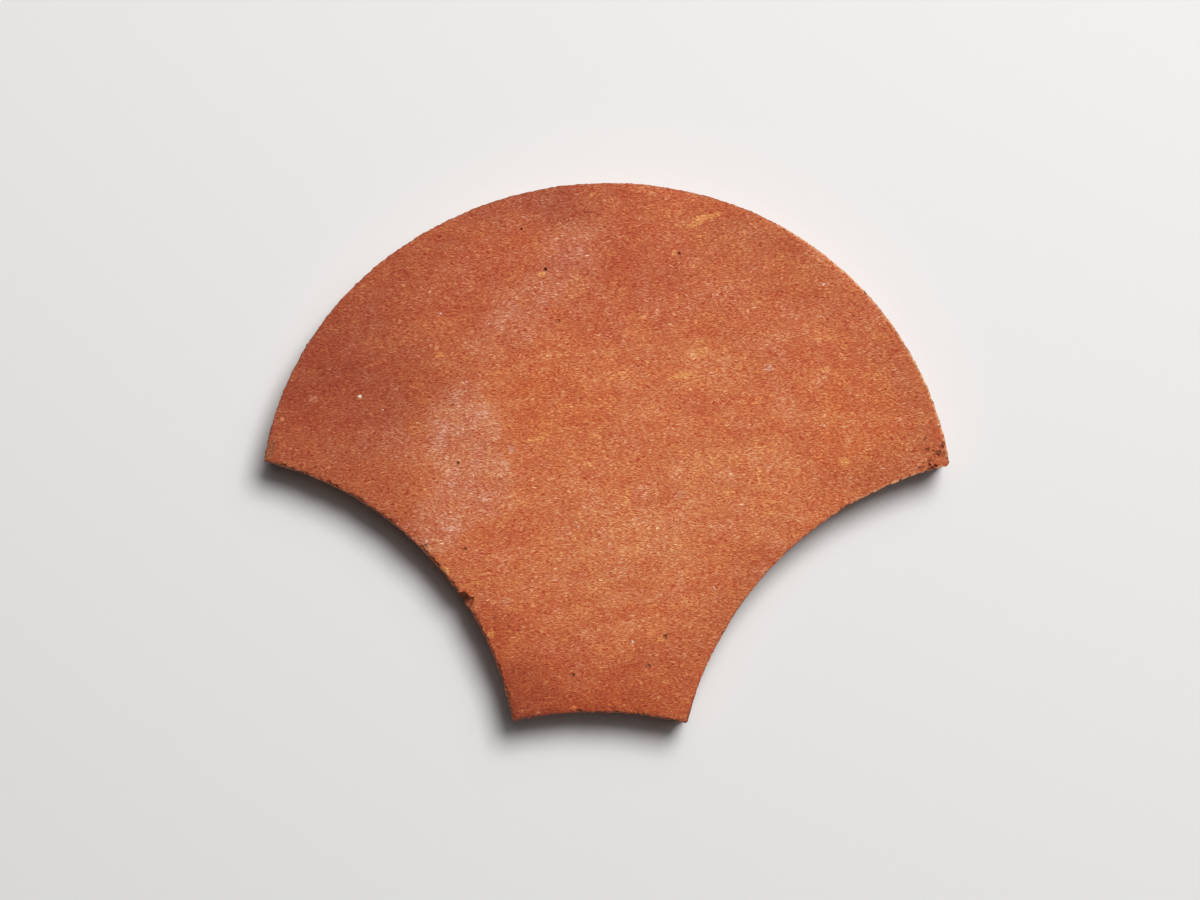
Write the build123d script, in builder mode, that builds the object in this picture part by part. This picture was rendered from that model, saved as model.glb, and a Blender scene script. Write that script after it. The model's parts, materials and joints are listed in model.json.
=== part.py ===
from build123d import *

import os

# A scalloped terracotta tile, cut out of a slab of clay and fired as one piece.
#
# Seen from above, a round head runs down to two horns. From each horn a hollow flank leads to
# a narrow foot, and the end of the foot is hollow too. Every edge has the radius of the head,
# so that the heads of the neighbouring tiles nest in the hollows, one course below the other.
#
# The tile lies on its back with its face up. X runs from the left horn to the right one, and
# Y from the foot up to the crown of the head. The origin is below the middle of the outline,
# on the floor. All sizes are in millimetres.

# The outline of the face
face_width = 200.0  # from horn to horn, to their sharp corners
head_rise = 81.0  # from the line through the horns up to the crown
flank_drop = 76.0  # from the line through the horns down to the corners of the foot
foot_width = 50.0  # across the foot, to its sharp corners

# The section
thickness = 16.0
draft = 1.5  # degrees by which the walls lean in towards the back, to let go of the cutter

# The edges that cutting and handling have worn round
horn_round = 1.6
foot_round = 1.0
face_arris = 0.8
back_arris = 0.5

# The chips out of the arris of the face. Each lies a share of the way along its edge, walking
# clockwise round the face. It has a length along the edge, a reach in over the face and a
# reach down the wall.
chips = [
    ("head", 0.617, 3.2, 0.7, 1.2),
    ("head", 0.975, 9.0, 2.6, 1.3),
    ("right flank", 0.075, 6.0, 1.6, 1.2),
    ("right flank", 0.293, 4.6, 1.2, 2.0),
    ("right flank", 0.394, 3.0, 0.7, 1.2),
    ("foot", 0.645, 4.2, 1.0, 1.6),
    ("left flank", 0.345, 7.0, 2.0, 3.4),
    ("left flank", 0.450, 5.6, 1.1, 2.2),
    ("left flank", 0.912, 3.0, 0.7, 1.2),
]

# The radius that takes the head's arc from horn to horn over the crown
edge_radius = ((face_width / 2) ** 2 + head_rise**2) / (2 * head_rise)

# The corners of the outline
face_length = head_rise + flank_drop
crown = (0, face_length / 2)
left_horn = (-face_width / 2, face_length / 2 - head_rise)
right_horn = (face_width / 2, face_length / 2 - head_rise)
left_foot = (-foot_width / 2, -face_length / 2)
right_foot = (foot_width / 2, -face_length / 2)


def chip_ball(edge, share, length, face_reach, wall_reach):
    """The middle and the radius of the ball whose bite is a chip of this length and reach."""
    half_chord = length / 2
    beyond_wall = (half_chord**2 - face_reach**2) / (2 * face_reach)
    above_face = (half_chord**2 - wall_reach**2) / (2 * wall_reach)
    radius = (half_chord**2 + beyond_wall**2 + above_face**2) ** 0.5
    up = Vector(0, 0, 1)
    outwards = up.cross(edge % share)
    middle = edge @ share + outwards * beyond_wall + up * (thickness + above_face)
    return middle, radius


with BuildPart() as scallop_tile:
    # The slab, cut to the outline, with its face on top
    with BuildSketch(Plane.XY.offset(thickness)) as face:
        with BuildLine():
            head = ThreePointArc(left_horn, crown, right_horn)
            right_flank = RadiusArc(right_horn, right_foot, -edge_radius)
            foot = RadiusArc(right_foot, left_foot, -edge_radius)
            left_flank = RadiusArc(left_foot, left_horn, -edge_radius)
        make_face()
        foot_corners, horn_corners = face.vertices().group_by(Axis.Y)
        fillet(horn_corners, horn_round)
        fillet(foot_corners, foot_round)
    extrude(amount=-thickness, taper=draft)

    # The worn arrises, right round the face and right round the back
    face_side = scallop_tile.faces().sort_by(Axis.Z)[-1]
    fillet(face_side.edges(), face_arris)
    back_side = scallop_tile.faces().sort_by(Axis.Z)[0]
    fillet(back_side.edges(), back_arris)

    # The chips
    edges = {"head": head, "right flank": right_flank, "foot": foot, "left flank": left_flank}
    for edge_name, share, length, face_reach, wall_reach in chips:
        middle, radius = chip_ball(edges[edge_name], share, length, face_reach, wall_reach)
        with Locations(middle):
            Sphere(radius, mode=Mode.SUBTRACT)

scallop_tile.part.label = "scallop_tile"
os.makedirs("parts", exist_ok=True)
export_step(scallop_tile.part, "parts/scallop_tile.step")
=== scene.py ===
import json
import random
from math import radians, sqrt

import bmesh
import bpy
from mathutils import Matrix, Vector

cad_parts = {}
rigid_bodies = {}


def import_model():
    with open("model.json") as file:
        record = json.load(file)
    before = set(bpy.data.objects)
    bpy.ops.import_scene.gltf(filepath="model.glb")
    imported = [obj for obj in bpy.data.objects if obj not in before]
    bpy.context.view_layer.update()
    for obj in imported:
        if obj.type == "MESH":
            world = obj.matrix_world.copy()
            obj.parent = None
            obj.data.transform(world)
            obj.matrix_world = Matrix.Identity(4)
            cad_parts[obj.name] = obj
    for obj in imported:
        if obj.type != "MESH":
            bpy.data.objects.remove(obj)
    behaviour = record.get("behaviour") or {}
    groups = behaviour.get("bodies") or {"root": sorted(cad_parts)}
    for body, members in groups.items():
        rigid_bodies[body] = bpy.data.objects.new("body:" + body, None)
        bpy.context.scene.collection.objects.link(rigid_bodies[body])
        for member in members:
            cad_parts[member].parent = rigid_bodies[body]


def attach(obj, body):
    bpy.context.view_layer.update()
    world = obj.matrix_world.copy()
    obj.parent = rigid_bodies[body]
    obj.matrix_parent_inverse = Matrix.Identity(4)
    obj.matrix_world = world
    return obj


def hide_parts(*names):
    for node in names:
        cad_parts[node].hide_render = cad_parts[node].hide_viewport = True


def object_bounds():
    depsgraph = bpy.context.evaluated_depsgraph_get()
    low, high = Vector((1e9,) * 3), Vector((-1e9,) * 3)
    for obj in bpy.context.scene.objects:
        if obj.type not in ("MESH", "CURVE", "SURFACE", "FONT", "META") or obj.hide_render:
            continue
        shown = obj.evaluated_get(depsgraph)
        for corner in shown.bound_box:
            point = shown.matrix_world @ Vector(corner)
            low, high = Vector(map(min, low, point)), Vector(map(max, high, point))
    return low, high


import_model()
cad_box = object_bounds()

# The camera
# It hangs over the tile and looks straight down, through a lens long enough that no wall of
# the tile shows. The tile lies a few pixels right of the picture's middle and below it.
mm = 0.001
face_level = cad_box[1].z
photo_width_px = 1200
photo_middle_px = (600.0, 450.0)
tile_middle_px = (606.0, 452.1)
one_px_on_face = 200 * mm / 689.5
lens_mm = 100
sensor_mm = 36
camera_rise = photo_width_px * one_px_on_face * lens_mm / sensor_mm

camera_data = bpy.data.cameras.new("camera")
camera_data.lens = lens_mm
camera_data.sensor_width = sensor_mm
camera = bpy.data.objects.new("camera", camera_data)
bpy.context.collection.objects.link(camera)
camera.location = (
    (photo_middle_px[0] - tile_middle_px[0]) * one_px_on_face,
    (tile_middle_px[1] - photo_middle_px[1]) * one_px_on_face,
    face_level + camera_rise,
)
scene = bpy.context.scene
scene.camera = camera
scene.view_settings.view_transform = "Standard"

# The light
# A round softbox stands high on the upper right, and a wide silk hangs round it, so the shadow
# falls to the lower left, dark at the tile and soft all the way out. A pale room fills it in.
shadow_reach = Vector((-5.1, -8.2, -16.0))  # how the light runs down past the 16 mm wall
lamp_height = 1.85
lamps = {  # width over height, watts
    "softbox": (0.54, 41.5),
    "silk": (1.2, 14.5),
}
room_fill = 0.03
room_colour = (0.87, 0.865, 0.855, 1)

for name, (wideness, watts) in lamps.items():
    lamp_data = bpy.data.lights.new(name, "AREA")
    lamp_data.shape = "DISK"
    lamp_data.size = wideness * lamp_height
    lamp_data.energy = watts
    lamp = bpy.data.objects.new(name, lamp_data)
    bpy.context.collection.objects.link(lamp)
    lamp.location = shadow_reach * lamp_height / shadow_reach.z
    lamp.rotation_mode = "QUATERNION"
    lamp.rotation_quaternion = shadow_reach.to_track_quat("-Z", "Y")

room = bpy.data.worlds.new("room")
scene.world = room
room.use_nodes = True
room_nodes = room.node_tree.nodes
room_nodes.clear()
room_out = room_nodes.new("ShaderNodeOutputWorld")
seen_room = room_nodes.new("ShaderNodeBackground")
seen_room.inputs["Color"].default_value = room_colour
lighting_room = room_nodes.new("ShaderNodeBackground")
lighting_room.inputs["Color"].default_value = room_colour
lighting_room.inputs["Strength"].default_value = room_fill
room_paths = room_nodes.new("ShaderNodeLightPath")
seen_or_mirrored = room_nodes.new("ShaderNodeMath")
seen_or_mirrored.operation = "MAXIMUM"
room_mix = room_nodes.new("ShaderNodeMixShader")
room.node_tree.links.new(room_paths.outputs["Is Camera Ray"], seen_or_mirrored.inputs[0])
room.node_tree.links.new(room_paths.outputs["Is Glossy Ray"], seen_or_mirrored.inputs[1])
room.node_tree.links.new(seen_or_mirrored.outputs[0], room_mix.inputs["Fac"])
room.node_tree.links.new(lighting_room.outputs[0], room_mix.inputs[1])
room.node_tree.links.new(seen_room.outputs[0], room_mix.inputs[2])
room.node_tree.links.new(room_mix.outputs[0], room_out.inputs["Surface"])

# The floor
# A plain sheet of pale card, matt and wide enough to reach past every view.
floor_colour = (0.84, 0.83, 0.82, 1)
floor_width = 6.0
floor_level = -0.02 * mm

bpy.ops.object.select_all(action="DESELECT")
bpy.ops.mesh.primitive_plane_add(size=floor_width, location=(0, 0, floor_level))
floor = bpy.context.object
floor.name = floor.data.name = "floor"
floor_paint = bpy.data.materials.new("pale_card")
floor_paint.use_nodes = True
floor_shader = floor_paint.node_tree.nodes["Principled BSDF"]
floor_shader.inputs["Base Color"].default_value = floor_colour
floor_shader.inputs["Roughness"].default_value = 0.95
floor_shader.inputs["Specular IOR Level"].default_value = 0.1
floor.data.materials.append(floor_paint)

# The slab
# The real tile is a slab of coarse red clay, rolled flat and cut round while it was soft, so
# its outline is a little off true: the head is squarish and the foot sits left of the middle.
# The cutter's edge left the walls dragged and the arrises ragged, and the kiln fixed them so.
left_horn = Vector((-99.8, -3.0)) * mm
left_shoulder = Vector((-65.6, 55.4)) * mm
right_shoulder = Vector((31.0, 74.2)) * mm
right_horn = Vector((100.3, -4.1)) * mm
right_foot = Vector((23.75, -79.2)) * mm
left_foot = Vector((-27.4, -78.6)) * mm
outline_spacing = 0.42 * mm
wall_lean = 0.996  # the back's size over the face's
face_arris = 0.7 * mm
back_arris = 0.5 * mm
wall_rows = 24
rim_rings = [0.3 * mm, 0.4 * mm, 0.5 * mm]
closest_points = 0.28 * mm
cell = 1.25 * mm


class Edge:
    """One arc of the outline. The outline is walked clockwise, seen from above."""

    def __init__(self, start, end, radius, hollow):
        along = end - start
        left = Vector((-along.y, along.x)).normalized()
        away = sqrt(radius**2 - (along.length / 2) ** 2)
        self.start = start
        self.end = end
        self.radius = radius
        self.hollow = hollow
        self.centre = (start + end) / 2 + left * (away if hollow else -away)

    def away_from(self, place):
        """How far a place lies from this edge, on either side of it."""
        spokes = [point - self.centre for point in (self.start, self.end, place)]
        if (spokes[0] + spokes[1]).angle(spokes[2]) <= spokes[0].angle(spokes[1]) / 2:
            return abs(spokes[2].length - self.radius)
        return min((place - self.start).length, (place - self.end).length)

    def toward(self, place):
        """The point of this edge's circle that is nearest to a place."""
        return self.centre + (place - self.centre).normalized() * self.radius


def round_corner(first, second, radius):
    """Trims two edges that meet, and gives the small arc that rounds their corner."""
    reach = [edge.radius + (radius if edge.hollow else -radius) for edge in (first, second)]
    between = second.centre - first.centre
    along = (reach[0] ** 2 - reach[1] ** 2 + between.length**2) / (2 * between.length)
    aside = Vector((-between.y, between.x)).normalized() * sqrt(reach[0] ** 2 - along**2)
    foot_point = first.centre + between.normalized() * along
    middle = min(foot_point + aside, foot_point - aside, key=lambda p: (p - first.end).length)
    corner = Edge(first.toward(middle), second.toward(middle), radius, False)
    corner.centre = middle
    first.end = corner.start
    second.start = corner.end
    return corner


def spin_along(edge):
    """Draws an edge on from the selected end point of the outline."""
    from_centre = edge.start - edge.centre
    turn = from_centre.angle(edge.end - edge.centre)
    steps = max(3, round(turn * edge.radius / outline_spacing))
    bpy.ops.mesh.spin(
        steps=steps,
        angle=-turn if edge.hollow else turn,
        center=(*edge.centre, face_level),
        axis=(0, 0, 1),
    )


def select_in(thing, kind, test):
    """Selects the points, edges or faces of the mesh in edit mode that pass a test."""
    bpy.ops.mesh.select_mode(type={"verts": "VERT", "edges": "EDGE", "faces": "FACE"}[kind])
    bpy.ops.mesh.select_all(action="DESELECT")
    mesh = bmesh.from_edit_mesh(thing.data)
    for element in getattr(mesh, kind):
        if test(element):
            element.select_set(True)
    mesh.select_flush_mode()
    bmesh.update_edit_mesh(thing.data)


def at_level(edge, level):
    """Whether both ends of a mesh edge lie at a level."""
    return all(abs(point.co.z - level) < 0.01 * mm for point in edge.verts)


shoulder_l = Edge(left_horn, left_shoulder, 93.0 * mm, False)
crown = Edge(left_shoulder, right_shoulder, 107.6 * mm, False)
shoulder_r = Edge(right_shoulder, right_horn, 98.0 * mm, False)
flank_r = Edge(right_horn, right_foot, 101.4 * mm, True)
foot = Edge(right_foot, left_foot, 112.0 * mm, True)
flank_l = Edge(left_foot, left_horn, 95.6 * mm, True)
edges = [shoulder_l, crown, shoulder_r, flank_r, foot, flank_l]
horn_round_r = round_corner(shoulder_r, flank_r, 2.4 * mm)
foot_round_r = round_corner(flank_r, foot, 0.9 * mm)
foot_round_l = round_corner(foot, flank_l, 1.4 * mm)
horn_round_l = round_corner(flank_l, shoulder_l, 1.3 * mm)

bpy.ops.object.select_all(action="DESELECT")
bpy.ops.mesh.primitive_plane_add(size=mm, location=(*shoulder_l.start, face_level))
tile = bpy.context.object
tile.name = tile.data.name = "fired_tile"
bpy.ops.object.transform_apply(location=True, rotation=True, scale=True)
bpy.ops.object.mode_set(mode="EDIT")
bpy.ops.mesh.select_mode(type="VERT")
bpy.ops.mesh.select_all(action="SELECT")
bpy.ops.mesh.merge(type="CENTER")
bpy.ops.mesh.select_all(action="SELECT")
for edge in [
    shoulder_l, crown, shoulder_r, horn_round_r, flank_r, foot_round_r,
    foot, foot_round_l, flank_l, horn_round_l,
]:
    spin_along(edge)
bpy.ops.mesh.select_all(action="SELECT")
bpy.ops.mesh.remove_doubles(threshold=outline_spacing / 4)
bpy.ops.mesh.edge_face_add()
bpy.ops.mesh.extrude_region_move(TRANSFORM_OT_translate={"value": (0, 0, -face_level)})
bpy.ops.transform.resize(value=(wall_lean, wall_lean, 1), center_override=(0, 0, 0))
bpy.ops.mesh.select_all(action="SELECT")
bpy.ops.mesh.normals_make_consistent(inside=False)

# Its arrises are rounded, and the walls are cut into rows.
for level, arris in ((face_level, face_arris), (0, back_arris)):
    select_in(tile, "edges", lambda edge: at_level(edge, level))
    bpy.ops.mesh.bevel(offset=arris, segments=3, profile=0.5, clamp_overlap=False)
select_in(tile, "edges", lambda edge: edge.calc_length() > face_level / 2
          and abs(edge.verts[0].co.z - edge.verts[1].co.z) > face_level / 2)
bpy.ops.mesh.subdivide(number_cuts=wall_rows)

# The face and the back get rings inside the rim and a mesh of small squares.
select_in(tile, "faces", lambda face: len(face.verts) > 100)
bpy.ops.mesh.remove_doubles(threshold=closest_points)
for ring in rim_rings:
    bpy.ops.mesh.inset(thickness=ring)
    bpy.ops.mesh.remove_doubles(threshold=closest_points)
bpy.ops.mesh.hide(unselected=True)
for axis, reach in ((0, 100 * mm), (1, 80 * mm)):
    direction = Vector((0, 0, 0))
    direction[axis] = 1
    for step in range(-int(reach / cell), int(reach / cell) + 1):
        bpy.ops.mesh.select_all(action="SELECT")
        bpy.ops.mesh.bisect(plane_co=direction * step * cell, plane_no=direction)
bpy.ops.mesh.reveal()
bpy.ops.mesh.select_mode(type="FACE")
bpy.ops.mesh.select_all(action="DESELECT")
bpy.ops.mesh.select_face_by_sides(number=4, type="GREATER")
bpy.ops.mesh.quads_convert_to_tris()
bpy.ops.object.mode_set(mode="OBJECT")

# Its surface, as rolling, cutting and drying left it
# The face heaves a little, the walls are dragged by the cutter from the face down, and both
# arrises have lost crumbs. The back stays on the bed: it is only roughened inwards.
arris_band = 2.2 * mm
wall_skin = 0.6 * mm


def away_from_outline(place):
    """How far a place lies from the outline that the tile was cut to."""
    return min(edge.away_from(place) for edge in edges)


def weigh_points(thing, name, weight):
    """A vertex group whose weights are worked out from each point's place."""
    group = thing.vertex_groups.new(name=name)
    for point in thing.data.vertices:
        value = weight(point.co)
        if value > 0:
            group.add([point.index], min(value, 1), "REPLACE")


def near_arris(place):
    """1 on the sharp edge that the arris of the face was cut to, 0 beyond the band."""
    away = Vector((away_from_outline(place.xy), face_level - place.z)).length
    return max(0, 1 - away / arris_band)


def crumbly(place):
    """How much of the arris of the face crumbled at a place: most along the left flank."""
    nearest = min(edges, key=lambda edge: edge.away_from(place.xy))
    return near_arris(place) * {flank_l: 1.0, foot: 0.6}.get(nearest, 0.3)


def on_wall(place):
    """1 on the walls, 0 on the face and the back."""
    on_side = away_from_outline(place.xy) < wall_skin
    return 1 if on_side and wall_skin < place.z < face_level - wall_skin else 0


def displace(thing, group, size, strength, middle=0.5, direction="NORMAL", depth=2, stretch=(1, 1, 1)):
    """Moves the points of a group by a cloud pattern whose clouds have this size."""
    clouds = bpy.data.textures.new(group, "CLOUDS")
    clouds.noise_scale = size
    clouds.noise_depth = depth
    ruler = bpy.data.objects.new("ruler", None)
    ruler.scale = stretch
    bpy.context.collection.objects.link(ruler)
    modifier = thing.modifiers.new(group, "DISPLACE")
    modifier.texture = clouds
    modifier.texture_coords = "OBJECT"
    modifier.texture_coords_object = ruler
    modifier.strength = strength
    modifier.mid_level = middle
    modifier.direction = direction
    if group in thing.vertex_groups:
        modifier.vertex_group = group
    bpy.context.view_layer.objects.active = thing
    bpy.ops.object.modifier_apply(modifier=modifier.name)
    bpy.data.objects.remove(ruler)


weigh_points(tile, "above_bed", lambda place: place.z / face_level)
weigh_points(tile, "arris", near_arris)
weigh_points(tile, "crumbs", crumbly)
weigh_points(tile, "walls", on_wall)
displace(tile, "above_bed", 45 * mm, 0.9 * mm, direction="Z")
displace(tile, "above_bed", 14 * mm, 0.3 * mm)
displace(tile, "walls", 9 * mm, 0.5 * mm)
displace(tile, "walls", 0.9 * mm, 0.35 * mm, middle=0.8, stretch=(1, 1, 9))
displace(tile, "walls", 1.4 * mm, 0.3 * mm, middle=0.8)
displace(tile, "arris", 1.3 * mm, 0.8 * mm, middle=0.8, depth=3)
displace(tile, "crumbs", 0.9 * mm, 1.8 * mm, middle=0.65, depth=3)
displace(tile, "all", 1.6 * mm, 0.1 * mm, middle=1)

# The chips, the nicks and the pits
# Handling broke chips out of the arris, most along the left flank and at the right horn, and
# grit that fell out or burnt out left pits in the face. They are bitten out of the slab by
# rough lumps, and show the coarser clay inside.
chip_grain = 0.22 * mm
chips = [  # place, length along the edge, reach in over the face, reach down the wall
    ((-41.0, -42.2), 5.4, 3.5, 5.5),
    ((-43.0, -39.6), 3.0, 1.2, 2.0),
    ((-38.6, -45.6), 6.0, 1.2, 3.0),
    ((-36.6, -50.2), 6.0, 1.0, 2.6),
    ((-46.6, -35.6), 4.5, 1.3, 2.4),
    ((-49.4, -31.4), 3.0, 0.9, 1.8),
    ((-52.3, -27.4), 3.2, 0.9, 1.6),
    ((-67.8, -16.4), 2.6, 0.8, 1.2),
    ((-72.8, -13.4), 2.4, 0.7, 1.2),
    ((69.9, -15.3), 4.6, 1.1, 2.0),
    ((65.6, -18.9), 2.6, 0.7, 1.2),
    ((60.9, -22.3), 2.6, 0.7, 1.2),
    ((51.1, -30.7), 2.0, 0.6, 1.0),
    ((81.2, -10.2), 2.0, 0.6, 1.0),
    ((94.2, -5.6), 5.0, 1.7, 1.6),
    ((91.0, -6.8), 2.6, 0.9, 1.2),
    ((98.6, -2.4), 3.2, 1.4, 1.4),
    ((-7.6, -75.4), 4.0, 1.6, 1.8),
    ((-2.8, -75.6), 2.2, 1.1, 1.2),
    ((11.0, -76.0), 3.0, 1.0, 1.2),
    ((32.2, 73.7), 2.8, 0.6, 1.2),
    ((-90.5, -5.2), 2.8, 0.8, 1.2),
    ((-87.4, -6.2), 2.0, 0.7, 1.0),
    ((-97.4, 5.2), 1.8, 1.4, 1.2),
    ((-98.0, 3.0), 1.6, 1.2, 1.2),
]
spalls = [  # place, length, breadth, depth, turn in degrees
    ((96.0, -0.6), 3.4, 1.4, 0.5, 35),
    ((97.4, 1.8), 2.6, 1.2, 0.6, 60),
    ((94.2, -2.6), 2.8, 1.2, 0.5, 10),
    ((93.0, 0.6), 2.2, 1.0, 0.3, 30),
    ((97.9, -0.6), 1.8, 1.2, 0.6, 80),
    ((91.4, -4.6), 2.4, 1.0, 0.4, 20),
    ((92.6, 4.0), 1.8, 1.0, 0.3, 50),
]
pits = [  # place, width, depth
    ((-17.6, 53.0), 1.2, 1.3),
    ((-24.5, 64.7), 0.7, 0.8),
    ((21.2, 57.5), 0.8, 0.8),
    ((-13.9, 38.0), 0.9, 0.5),
    ((-42.9, -3.2), 0.8, 0.7),
    ((-40.9, -28.1), 0.9, 0.7),
    ((-9.6, -64.7), 1.0, 0.5),
    ((17.0, -53.6), 1.2, 0.8),
    ((12.2, -62.0), 1.1, 0.5),
    ((24.1, 75.6), 0.9, 0.8),
    ((26.4, 75.2), 0.7, 0.7),
    ((51.6, 64.6), 0.8, 0.7),
    ((97.6, 1.4), 1.1, 1.4),
    ((96.2, -1.0), 1.3, 1.4),
    ((93.8, -3.8), 1.2, 1.2),
    ((95.6, -4.0), 1.0, 1.2),
    ((92.0, -3.2), 0.8, 0.8),
    ((95.0, 0.4), 0.8, 0.8),
]
crumbs_per_chip = 6
chip_core = (0.75, 0.8)  # the main bite's share of a chip's length and of its reach in
nick_drop = 0.6  # a nick's reach down the wall, over its length
nicks_per_edge = [  # edge, how many, mean length, deepest reach in
    (flank_l, 120, 1.8, 1.5),
    (flank_r, 30, 1.3, 1.0),
    (foot, 34, 1.5, 1.2),
    (shoulder_r, 26, 1.1, 0.9),
    (shoulder_l, 26, 1.1, 0.9),
    (crown, 26, 1.1, 0.9),
]


def add_lump(place, size, turn=0, detail=4):
    """A lump of the size, which is its length, breadth and height, turned on its place."""
    bpy.ops.mesh.primitive_ico_sphere_add(
        subdivisions=detail, radius=0.5, location=place, rotation=(0, 0, turn),
        scale=[length * mm for length in size],
    )
    return bpy.context.object


def add_bite(edge, place, length, reach, drop):
    """A lump on the arris of an edge of the tile, which bites a chip or a nick out of it."""
    out = place - edge.centre
    turn = out.angle_signed(Vector((0, 1)))
    on_arris = (*edge.toward(place), face_level)
    return add_lump(on_arris, (length, 2 * reach, 2 * drop), turn)


draw = random.Random(7)
bpy.ops.object.select_all(action="DESELECT")
lumps = []
for place, length, reach, drop in chips:
    place = Vector(place) * mm
    edge = min(edges, key=lambda edge: edge.away_from(place))
    spoke = place - edge.centre
    along = Vector((-spoke.y, spoke.x)).normalized() * length * mm
    lumps.append(add_bite(edge, place, chip_core[0] * length, chip_core[1] * reach, drop))
    for crumb in range(crumbs_per_chip):
        aside = place + along * draw.uniform(-0.5, 0.5)
        size = draw.uniform(0.2, 0.45)
        crumb_reach = reach * draw.uniform(0.4, 1.1)
        lumps.append(add_bite(edge, aside, size * length, crumb_reach, size * drop))
for place, length, breadth, depth, turn in spalls:
    on_face = (place[0] * mm, place[1] * mm, face_level)
    lumps.append(add_lump(on_face, (length, breadth, 2 * depth), radians(turn)))
for place, width, depth in pits:
    on_face = (place[0] * mm, place[1] * mm, face_level)
    lumps.append(add_lump(on_face, (width, width, 2 * depth), detail=3))
for edge, count, size, deepest in nicks_per_edge:
    from_centre = edge.start - edge.centre
    turn = from_centre.angle(edge.end - edge.centre) * (1 if edge.hollow else -1)
    for number in range(count):
        spoke = from_centre.copy()
        spoke.rotate(Matrix.Rotation(turn * draw.random(), 2))
        length = size * draw.uniform(0.5, 1.7)
        reach = deepest * draw.uniform(0.4, 1)
        lumps.append(add_bite(edge, edge.centre + spoke, length, reach, nick_drop * length))
for lump in lumps:
    lump.select_set(True)
bpy.context.view_layer.objects.active = lumps[0]
bpy.ops.object.join()
cutter = bpy.context.object
cutter.name = "lumps"
bpy.ops.object.transform_apply(location=True, rotation=True, scale=True)
remesh = cutter.modifiers.new("one_skin", "REMESH")
remesh.mode = "VOXEL"
remesh.voxel_size = chip_grain
bpy.ops.object.modifier_apply(modifier=remesh.name)
displace(cutter, "facets", 1.7 * mm, 0.8 * mm)
displace(cutter, "grit", 0.6 * mm, 0.3 * mm)

clay = bpy.data.materials.new("fired_clay")
broken_clay = bpy.data.materials.new("broken_clay")
for thing in (tile, cutter):
    thing.data.materials.clear()
    thing.data.materials.append(clay)
    thing.data.materials.append(broken_clay)
for face in cutter.data.polygons:
    face.material_index = 1
bpy.ops.object.select_all(action="DESELECT")
tile.select_set(True)
bpy.context.view_layer.objects.active = tile
bite = tile.modifiers.new("bites", "BOOLEAN")
bite.operation = "DIFFERENCE"
bite.solver = "MANIFOLD"
bite.object = cutter
bpy.ops.object.modifier_apply(modifier=bite.name)
bpy.data.meshes.remove(cutter.data)

# What the clay's pattern needs to know is kept on the mesh: how near the arris a point lies,
# how much of it is wall, and which faces are broken.
wall_fade = 1.2 * mm


def wall_share(place):
    """1 on the walls, fading to 0 up to the level of the face and in over the back."""
    beside = max(0, 1 - away_from_outline(place.xy) / wall_fade)
    below = max(0, min(1, (face_level - place.z) / wall_fade))
    return beside * below


rim_nearness = tile.data.attributes.new("arris_nearness", "FLOAT", "POINT")
rim_nearness.data.foreach_set("value", [near_arris(point.co) for point in tile.data.vertices])
wall = tile.data.attributes.new("wall", "FLOAT", "POINT")
wall.data.foreach_set("value", [wall_share(point.co) for point in tile.data.vertices])
broken = tile.data.attributes.new("broken", "FLOAT", "CORNER")
corner_is_broken = []
for face in tile.data.polygons:
    corner_is_broken.extend([float(face.material_index)] * face.loop_total)
    face.material_index = 0
broken.data.foreach_set("value", corner_is_broken)
tile.data.materials.pop(index=1)

# Crumbs that the bites cut loose go, and the slivers that they left are closed up.
sliver = 0.15 * mm
bpy.ops.object.mode_set(mode="EDIT")
select_in(tile, "verts", lambda point: point.co.length < 2 * cell)
bpy.ops.mesh.select_linked()
bpy.ops.mesh.select_all(action="INVERT")
bpy.ops.mesh.delete(type="VERT")
bpy.ops.mesh.select_all(action="SELECT")
bpy.ops.mesh.quads_convert_to_tris()
bpy.ops.mesh.select_all(action="DESELECT")
bpy.ops.mesh.select_non_manifold()
bpy.ops.mesh.remove_doubles(threshold=sliver)
bpy.ops.mesh.select_all(action="DESELECT")
bpy.ops.mesh.select_non_manifold()
bpy.ops.mesh.select_more()
bpy.ops.mesh.delete(type="FACE")
bpy.ops.mesh.select_non_manifold()
bpy.ops.mesh.fill_holes(sides=0)
bpy.ops.mesh.select_all(action="SELECT")
bpy.ops.mesh.quads_convert_to_tris()
bpy.ops.mesh.delete_loose()
bpy.ops.mesh.select_all(action="SELECT")
bpy.ops.mesh.normals_make_consistent(inside=False)
bpy.ops.object.mode_set(mode="OBJECT")
bpy.ops.object.shade_smooth_by_angle(angle=radians(38))

# The clay
# Iron-red clay with sand and crushed brick in it, fired without a glaze. It is redder where
# the fire was hotter, paler where lime bloomed on it, and flecked all over with pale sand.


def paint(red, green, blue):
    """A colour given as it looks on a screen, 0 to 255, as a shader takes it."""
    return (*[((part / 255 + 0.055) / 1.055) ** 2.4 for part in (red, green, blue)], 1)


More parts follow.
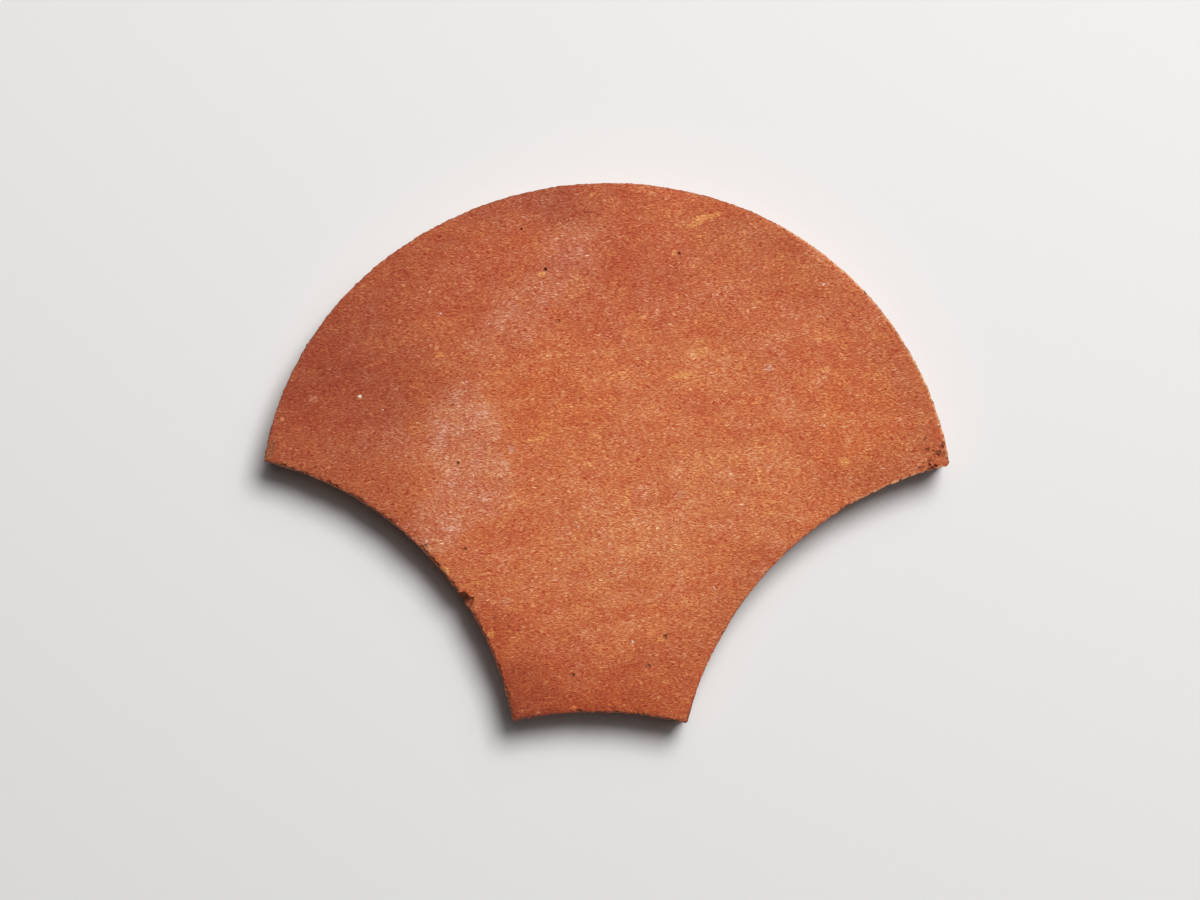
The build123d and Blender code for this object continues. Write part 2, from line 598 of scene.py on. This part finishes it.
class Sheet:
    """A sheet of shader nodes, and the few kinds of node that the clay is mixed from."""

    def __init__(self, tree):
        self.tree = tree

    def join(self, socket, value):
        """Feeds a socket from another one, or with a plain value."""
        if isinstance(value, bpy.types.NodeSocket):
            self.tree.links.new(value, socket)
        else:
            socket.default_value = value

    def node(self, kind, **settings):
        """A node of a kind, with its settings."""
        made = self.tree.nodes.new("ShaderNode" + kind)
        for name, value in settings.items():
            setattr(made, name, value)
        return made

    def maths(self, operation, *values):
        """The result of one operation on numbers."""
        made = self.node("Math", operation=operation)
        for socket, value in zip(made.inputs, values):
            self.join(socket, value)
        return made.outputs[0]

    def vector(self, operation, *values):
        """The result of one operation on places."""
        made = self.node("VectorMath", operation=operation)
        for socket, value in zip(made.inputs, values):
            self.join(socket, value)
        return made.outputs["Value" if operation == "DISTANCE" else "Vector"]

    def mix(self, share, first, second, blend="MIX"):
        """Two colours mixed by a share."""
        made = self.node("Mix", data_type="RGBA", blend_type=blend)
        self.join(made.inputs["Factor"], share)
        self.join(made.inputs[6], first)
        self.join(made.inputs[7], second)
        return made.outputs[2]

    def tint(self, share, colour, tint):
        """A colour with a share of a tint multiplied into it."""
        return self.mix(share, colour, tint, "MULTIPLY")

    def fade(self, value, low, high, most=1.0, kind="SMOOTHSTEP"):
        """A value that fades from 0 to the most between two limits."""
        made = self.node("MapRange", interpolation_type=kind)
        for name, given in zip(("Value", "From Min", "From Max", "To Max"), (value, low, high, most)):
            self.join(made.inputs[name], given)
        return made.outputs["Result"]

    def clouds(self, place, size, detail=2.0, rough=0.6):
        """Clouds of a width in millimetres, as a value round 0.5 and as a colour."""
        made = self.node("TexNoise")
        self.join(made.inputs["Vector"], place)
        self.join(made.inputs["Scale"], 1 / size)
        self.join(made.inputs["Detail"], detail)
        self.join(made.inputs["Roughness"], rough)
        return made.outputs

    def stray(self, place, size, reach, detail=2.0):
        """Places strayed up to about half a reach each way, in clouds of a size."""
        strayed = self.vector("SUBTRACT", self.clouds(place, size, detail)["Color"], (0.5, 0.5, 0.5))
        return self.vector("ADD", place, self.vector("MULTIPLY", strayed, reach))

    def use(self, group, **values):
        """A node group placed on the sheet, with its own values."""
        made = self.node("Group")
        made.node_tree = group
        for name, value in values.items():
            self.join(made.inputs[name], value)
        return made.outputs[0]


def new_group(name, inputs, output):
    """A shader node group with named inputs and one output."""
    group = bpy.data.node_groups.new(name, "ShaderNodeTree")
    for label, kind in inputs:
        group.interface.new_socket(label, in_out="INPUT", socket_type="NodeSocket" + kind)
    group.interface.new_socket(output, in_out="OUTPUT", socket_type="NodeSocketFloat")
    given = group.nodes.new("NodeGroupInput")
    out = group.nodes.new("NodeGroupOutput")
    return group, Sheet(group), given.outputs, out.inputs[0]


# How far a place lies from a middle, where 1 is the patch's reach each way
patch, sheet, given, out = new_group(
    "patch",
    [("Place", "Vector"), ("Middle", "Vector"), ("Reach", "Vector")],
    "Away",
)
scaled_place = sheet.vector("DIVIDE", given["Place"], given["Reach"])
scaled_middle = sheet.vector("DIVIDE", given["Middle"], given["Reach"])
sheet.join(out, sheet.vector("DISTANCE", scaled_place, scaled_middle))

# Flecks of a size along and across the rolling, of which the fullest between two limits show
flecks, sheet, given, out = new_group(
    "flecks",
    [("Place", "Vector"), ("Size", "Vector"), ("Crowd", "Float"), ("Low", "Float"), ("High", "Float")],
    "Mask",
)
squeezed = sheet.vector("DIVIDE", given["Place"], given["Size"])
fullness = sheet.maths("ADD", sheet.clouds(squeezed, 1.0, 0.7)["Fac"], given["Crowd"])
sheet.join(out, sheet.fade(fullness, given["Low"], given["High"]))

# Scattered specks: a share of the cells of a width holds one
specks, sheet, given, out = new_group(
    "specks",
    [("Place", "Vector"), ("Cell", "Float"), ("Share", "Float"), ("Width", "Float")],
    "Mask",
)
cells_per_mm = sheet.maths("DIVIDE", 1.0, given["Cell"])
cells = sheet.node("TexVoronoi")
sheet.join(cells.inputs["Vector"], given["Place"])
sheet.join(cells.inputs["Scale"], cells_per_mm)
chance = sheet.node("SeparateColor")
sheet.join(chance.inputs[0], cells.outputs["Color"])
holds_one = sheet.maths("LESS_THAN", chance.outputs[0], given["Share"])
small_or_large = sheet.maths("MULTIPLY_ADD", chance.outputs[1], 0.35, 0.25)
radius = sheet.maths("MULTIPLY", given["Width"], small_or_large)
off_middle = sheet.maths("MULTIPLY", cells.outputs["Distance"], given["Cell"])
speck = sheet.fade(off_middle, radius, sheet.maths("MULTIPLY", radius, 0.4))
sheet.join(out, sheet.maths("MULTIPLY", speck, holds_one))

# The tones of the clay as they are seen from some way off, flecks and all
orange = paint(203, 117, 77)
deep_red = paint(154, 70, 44)
maroon = paint(150, 68, 48)
brick = paint(182, 92, 62)
pale_orange = paint(209, 131, 90)
ochre = paint(200, 110, 64)
dull_orange = paint(180, 98, 62)
burnt_orange = paint(166, 68, 28)
# Kiln brown, also used as painted shade on broken clay on the side away from the light
kiln_brown_and_shade = paint(120, 44, 22)
lime_bloom = paint(204, 142, 120)
yellow_sand = paint(226, 156, 98)
white_lime = paint(238, 226, 214)
# A dark tone painted into the pits and chips as the shade inside them
painted_hollow_shade = paint(74, 48, 32)
worn_tan = paint(142, 92, 66)
dust = paint(116, 92, 77)
# A pale rim, part wear and part painted highlight where the light catches the arris
worn_and_lit_rim = paint(232, 166, 120)
# A dark rim, painted shade where the arris faces away from the light
shaded_rim = paint(112, 44, 26)
# The broken clay's dark tone is partly painted shade for the insides of the chips
broken_dark_and_shade = paint(108, 46, 26)
broken_grain = paint(198, 108, 62)

# Tints, which are multiplied into a tone
between_flecks = (0.905, 0.672, 0.468, 1)
wall_hollow = (0.4, 0.36, 0.36, 1)
wall_ridge = (0.62, 0.62, 0.64, 1)

patches = [  # tone, share, middle, reach, turn, in millimetres and degrees
    (deep_red, 0.95, (-84, 26), (68, 66), 15),
    (deep_red, 0.5, (-54, 60), (50, 24), 35),
    (deep_red, 0.4, (-70, -14), (50, 18), -38),
    (brick, 0.75, (-35, 50), (34, 27), 35),
    (brick, 0.75, (4, 56), (56, 38), 5),
    (maroon, 0.75, (-22, 78), (44, 18), 0),
    (dull_orange, 0.75, (48, 62), (44, 20), -35),
    (dull_orange, 0.85, (92, 22), (24, 70), 18),
    (brick, 0.35, (52, 34), (36, 20), -20),
    (dull_orange, 0.4, (62, 46), (24, 14), -40),
    (ochre, 0.7, (-18, 14), (24, 22), 0),
    (ochre, 0.7, (74, 6), (26, 22), -30),
    (pale_orange, 0.8, (6, -26), (36, 20), 5),
    (pale_orange, 0.5, (30, 24), (24, 14), 25),
    (pale_orange, 0.6, (34, -12), (44, 24), 10),
    (dull_orange, 0.7, (84, -4), (30, 12), 15),
    (dull_orange, 0.6, (40, -40), (34, 12), 50),
    (burnt_orange, 0.7, (-34, -58), (18, 32), 25),
    (burnt_orange, 0.25, (27, -62), (16, 28), -15),
    (burnt_orange, 0.9, (-6, -79), (62, 35), 0),
    (kiln_brown_and_shade, 0.75, (-30, -82), (30, 24), 10),
]
blooms = [  # share, middle, reach, turn
    (0.5, (-10, 57), (18, 22), 0),
    (0.5, (-28, 37), (30, 17), 48),
    (0.28, (-62, 2), (30, 20), 0),
    (1.0, (-41, 7), (17, 20), 0),
    (1.0, (-35, -10), (14, 16), 0),
    (1.0, (-48, -20), (13, 15), -20),
    (0.3, (40, 46), (16, 14), 0),
    (0.3, (20, -29), (16, 14), 0),
]
bloom_share = 0.28
# The stretches of the left and the foot, facing away from the light, where the rim is painted dark as
# shade
shaded_edges = [  # share, middle, reach, turn
    (0.55, (-64, -36), (84, 50), -45),
    (0.6, (-33, -60), (40, 14), -62),
    (0.6, (-2, -80), (60, 18), 0),
]
mottles = [  # cloud size, squeeze each way, dark tint, pale tint
    (9, (0.6, 1, 1), (0.95, 0.88, 0.84, 1), (1.05, 1.12, 1.16, 1)),
    (4.5, (0.7, 1, 1), (0.94, 0.8, 0.76, 1), (1.06, 1.2, 1.22, 1)),
]
speckles = [  # tone, share, shift, spacing, how many of the cells hold one, width
    (yellow_sand, 0.6, (0, 0, 0), 5.0, 0.35, 1.5),
    (white_lime, 0.7, (9, 5, 3), 8.0, 0.2, 1.0),
    (kiln_brown_and_shade, 0.6, (5, 9, 7), 4.5, 0.25, 0.8),
]
wall_dust = 0.66
broken_share = 0.8
roughness = 0.85
grain_height = 0.06 * mm
marks = [  # tone, share, middle, reach, turn
    (yellow_sand, 0.75, (29.5, 68.4), (7.5, 1.2), 12),
    (yellow_sand, 0.6, (26.5, 66.6), (5, 1.2), 22),
    (yellow_sand, 0.5, (21.5, 22.2), (7, 1.6), 16),
    (yellow_sand, 0.25, (27.3, 29.6), (6, 4), 30),
    (yellow_sand, 0.85, (-20.4, 3.9), (4.6, 1.0), 14),
    (lime_bloom, 0.7, (-27.4, 1.2), (1.7, 3), 10),
    (yellow_sand, 0.7, (-18.6, 51.6), (1.8, 1.4), 0),
    (yellow_sand, 0.8, (-48.2, 28.2), (1.8, 1.2), 0),
    (yellow_sand, 0.6, (19.8, 57.8), (1.4, 1.4), 0),
    (white_lime, 1.0, (-71.4, 16), (0.9, 0.8), 0),
    (lime_bloom, 0.6, (-85, 15.4), (2, 1.6), 0),
    (yellow_sand, 0.6, (69.2, -2.6), (2.4, 1.8), 0),
    (yellow_sand, 0.5, (63.6, 24), (2, 1.8), 0),
    (lime_bloom, 0.6, (47.3, 24.4), (2, 2), 0),
    (yellow_sand, 0.6, (16, -54), (2.4, 1.6), 0),
    (lime_bloom, 0.5, (22, -12.4), (2.4, 2), 0),
    (lime_bloom, 0.5, (-29, -43.4), (2.4, 2), 0),
    (worn_tan, 0.7, (-97.6, 0.6), (2.4, 4.6), -20),
    (ochre, 0.5, (-89.8, 7.0), (2.0, 1.4), 0),
    (yellow_sand, 0.8, (-46.6, -34.4), (2.8, 1.3), -50),
    (yellow_sand, 0.6, (-33.4, -52.7), (1.4, 2.2), 0),
    (ochre, 0.8, (-9.6, -74.2), (2.0, 1.0), 10),
    # Painted shade: dark spots in the chips along the left flank and the foot, and in the pits
    (painted_hollow_shade, 0.8, (-43.7, -39.3), (2.0, 0.7), -40),
    (painted_hollow_shade, 0.8, (-52.3, -27.0), (0.9, 0.7), -40),
    (painted_hollow_shade, 0.7, (-32.5, -48.2), (1.5, 0.4), 41),
    (painted_hollow_shade, 0.8, (-7.8, -74.9), (1.8, 0.7), 5),
    (painted_hollow_shade, 0.8, (-2.6, -75.3), (0.9, 0.5), 0),
    (painted_hollow_shade, 0.7, (11.0, -76.0), (2.0, 0.5), -5),
    (painted_hollow_shade, 0.85, (-17.6, 53.0), (0.9, 0.9), 0),
    (painted_hollow_shade, 0.8, (-24.5, 64.7), (0.6, 0.6), 0),
    (painted_hollow_shade, 0.8, (21.2, 57.5), (0.7, 0.7), 0),
    (painted_hollow_shade, 0.6, (-13.9, 38.0), (1.3, 0.7), 0),
    (painted_hollow_shade, 0.6, (-42.9, -3.2), (0.8, 0.7), 0),
    (painted_hollow_shade, 0.6, (-40.9, -28.1), (1.1, 0.9), 0),
    (painted_hollow_shade, 0.5, (-9.6, -64.7), (1.5, 0.8), 0),
    (painted_hollow_shade, 0.8, (17.4, -53.4), (0.9, 1.2), 0),
    (painted_hollow_shade, 0.6, (12.2, -62.0), (1.5, 0.9), 0),
]

clay.use_nodes = True
sheet = Sheet(clay.node_tree)
shader = clay.node_tree.nodes["Principled BSDF"]


def on_mesh(name):
    """A value that the mesh keeps for each of its points or corners."""
    return sheet.node("Attribute", attribute_name=name).outputs["Fac"]


def show(place, middle, reach, turn, share=1.0, rim=1.0, core=0.0):
    """The mask of one soft patch, which fades from its rim to its core."""
    if turn:
        turned = sheet.node("VectorRotate", rotation_type="Z_AXIS")
        sheet.join(turned.inputs["Vector"], place)
        turned.inputs["Center"].default_value = (*middle, 0)
        turned.inputs["Angle"].default_value = -radians(turn)
        place = turned.outputs[0]
    away = sheet.use(patch, Place=place, Middle=(*middle, 0), Reach=(*reach, 1))
    return sheet.fade(away, rim, core, share)


metres = sheet.node("TexCoord").outputs["Object"]
solid_place = sheet.vector("MULTIPLY", metres, (1 / mm, 1 / mm, 1 / mm))
flat_place = sheet.vector("MULTIPLY", solid_place, (1, 1, 0))
drifted = sheet.stray(flat_place, 22, (26, 26, 0), 3)
frayed = sheet.stray(flat_place, 4, (7, 5, 0), 3)
axes = sheet.node("SeparateXYZ")
sheet.join(axes.inputs[0], solid_place)
near_face = sheet.fade(axes.outputs["Z"], 2, 14)

colour = orange
for tone, share, middle, reach, turn in patches:
    colour = sheet.mix(show(drifted, middle, reach, turn, share), colour, tone)

# The bloom is a haze with frayed borders, thick where several of its patches meet
haze = 0.0
for share, middle, reach, turn in blooms:
    haze = sheet.maths("ADD", show(frayed, middle, reach, turn, share), haze)
haze = sheet.fade(haze, 0.12, 0.6)
colour = sheet.mix(sheet.maths("MULTIPLY", haze, bloom_share), colour, lime_bloom)
wobbled = sheet.stray(flat_place, 1.2, (0.8, 0.8, 0))
for tone, share, middle, reach, turn in marks:
    colour = sheet.mix(show(wobbled, middle, reach, turn, share, 0.8, 0.43), colour, tone)
colour = sheet.mix(near_face, dull_orange, colour)

# The clay between the flecks is darker and redder than the whole looks, and it is mottled
colour = sheet.tint(1.0, colour, between_flecks)
for size, squeeze, dark, pale in mottles:
    mottle = sheet.clouds(sheet.vector("MULTIPLY", solid_place, squeeze), size, 3)["Fac"]
    mottle = sheet.fade(mottle, 0.3, 0.7, kind="LINEAR")
    colour = sheet.tint(1.0, colour, sheet.mix(mottle, dark, pale))

# The grain: wavy pale flecks of sand in red clay, dense in some places and sparse in others
waved = sheet.stray(solid_place, 3.6, (1.2, 2.7, 2.7), 1)
crowd = sheet.clouds(sheet.vector("ADD", solid_place, (40, 90, 10)), 6, 3)["Fac"]
crowd = sheet.maths("MULTIPLY_ADD", crowd, 0.6, -0.3)
more_lime = sheet.maths("MULTIPLY_ADD", haze, 0.05, sheet.maths("MULTIPLY", crowd, -1))
grain = {}
for name, shift, size, crowding, low, high, tint in (  # the size is along and across the rolling
    ("gaps", (0, 0, 0), (1.1, 0.27, 0.3), 0.0, 0.52, 0.24, (0.68, 0.28, 0.18, 1)),
    ("lights", (0, 0, 0), (1.1, 0.27, 0.3), 0.0, 0.45, 0.8, (1.2, 1.66, 2.0, 1)),
    ("yellow", (11, 47, 5), (1.4, 0.31, 0.35), crowd, 0.5, 0.78, (1.38, 2.05, 2.25, 1)),
    ("lime", (71, 7, 15), (1.2, 0.28, 0.3), more_lime, 0.52, 0.78, (1.3, 1.9, 2.8, 1)),
    ("wisps", (31, 87, 25), (2.2, 0.32, 0.4), more_lime, 0.6, 0.8, (1.18, 1.68, 2.25, 1)),
):
    place = sheet.vector("ADD", waved, shift)
    grain[name] = sheet.use(flecks, Place=place, Size=size, Crowd=crowding, Low=low, High=high)
    colour = sheet.tint(grain[name], colour, tint)
for tone, share, shift, spacing, crowding, width in speckles:
    place = sheet.vector("ADD", waved, shift)
    speckle = sheet.use(specks, Place=place, Cell=spacing, Share=crowding, Width=width)
    colour = sheet.mix(sheet.maths("MULTIPLY", speckle, share), colour, tone)

# The arris: worn, and painted paler as a highlight on the right, where the light catches it, and
# painted dark as shade on the left and the foot, which face away from the light. The walls are
# dragged and dusty, and where the clay broke it is coarse, its dark tone partly painted shade.
rim_nearness = on_mesh("arris_nearness")
crumbs = sheet.clouds(solid_place, 1.0, 3)["Fac"]
worn = sheet.fade(sheet.maths("ADD", rim_nearness, sheet.maths("MULTIPLY_ADD", crumbs, 1.2, -0.6)), 0.5, 0.8)
# Painted highlight: the worn arris is painted paler only on the right, where the light catches it
lit_side = sheet.fade(show(flat_place, (84, 34), (60, 78), 15), 0.0, 0.5)
colour = sheet.mix(sheet.maths("MULTIPLY", worn, lit_side), colour, worn_and_lit_rim)
# Painted shade: the arris on the left and the foot, which faces away from the light, is painted dark
shaded_side = 0.0
for share, middle, reach, turn in shaded_edges:
    shaded_side = sheet.maths("ADD", show(flat_place, middle, reach, turn, share), shaded_side)
rim = sheet.maths("ADD", rim_nearness, sheet.maths("MULTIPLY_ADD", crumbs, 0.9, -0.1))
rim_shade = sheet.fade(sheet.maths("MULTIPLY_ADD", shaded_side, 0.35, rim), 0.95, 1.25)
rim_shade = sheet.maths("MULTIPLY", rim_shade, sheet.fade(shaded_side, 0.0, 0.3))
colour = sheet.mix(rim_shade, colour, shaded_rim)
drags = sheet.clouds(sheet.vector("MULTIPLY", solid_place, (1, 1, 0.12)), 1.3, 3)["Fac"]
wall_tint = sheet.mix(sheet.fade(drags, 0.3, 0.7), wall_hollow, wall_ridge)
colour = sheet.tint(on_mesh("wall"), colour, wall_tint)
colour = sheet.mix(sheet.maths("MULTIPLY", on_mesh("wall"), wall_dust), colour, dust)
coarse = sheet.fade(sheet.clouds(solid_place, 0.9, 2)["Fac"], 0.35, 0.65)
broken_tone = sheet.mix(coarse, broken_dark_and_shade, broken_grain)
# Painted shade: broken clay on the left and the foot, facing away from the light, is painted darker
# still
broken_tone = sheet.mix(sheet.maths("MULTIPLY", shaded_side, 0.5), broken_tone, kiln_brown_and_shade)
colour = sheet.mix(sheet.maths("MULTIPLY", on_mesh("broken"), broken_share), colour, broken_tone)

sheet.join(shader.inputs["Base Color"], colour)
shader.inputs["Roughness"].default_value = roughness
bump = sheet.node("Bump")
bump.inputs["Distance"].default_value = grain_height
bump.inputs["Strength"].default_value = 0.6
sheet.join(bump.inputs["Height"], sheet.maths("SUBTRACT", grain["lights"], grain["gaps"]))
sheet.join(shader.inputs["Normal"], bump.outputs[0])

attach(tile, "root")
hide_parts("scallop_tile")
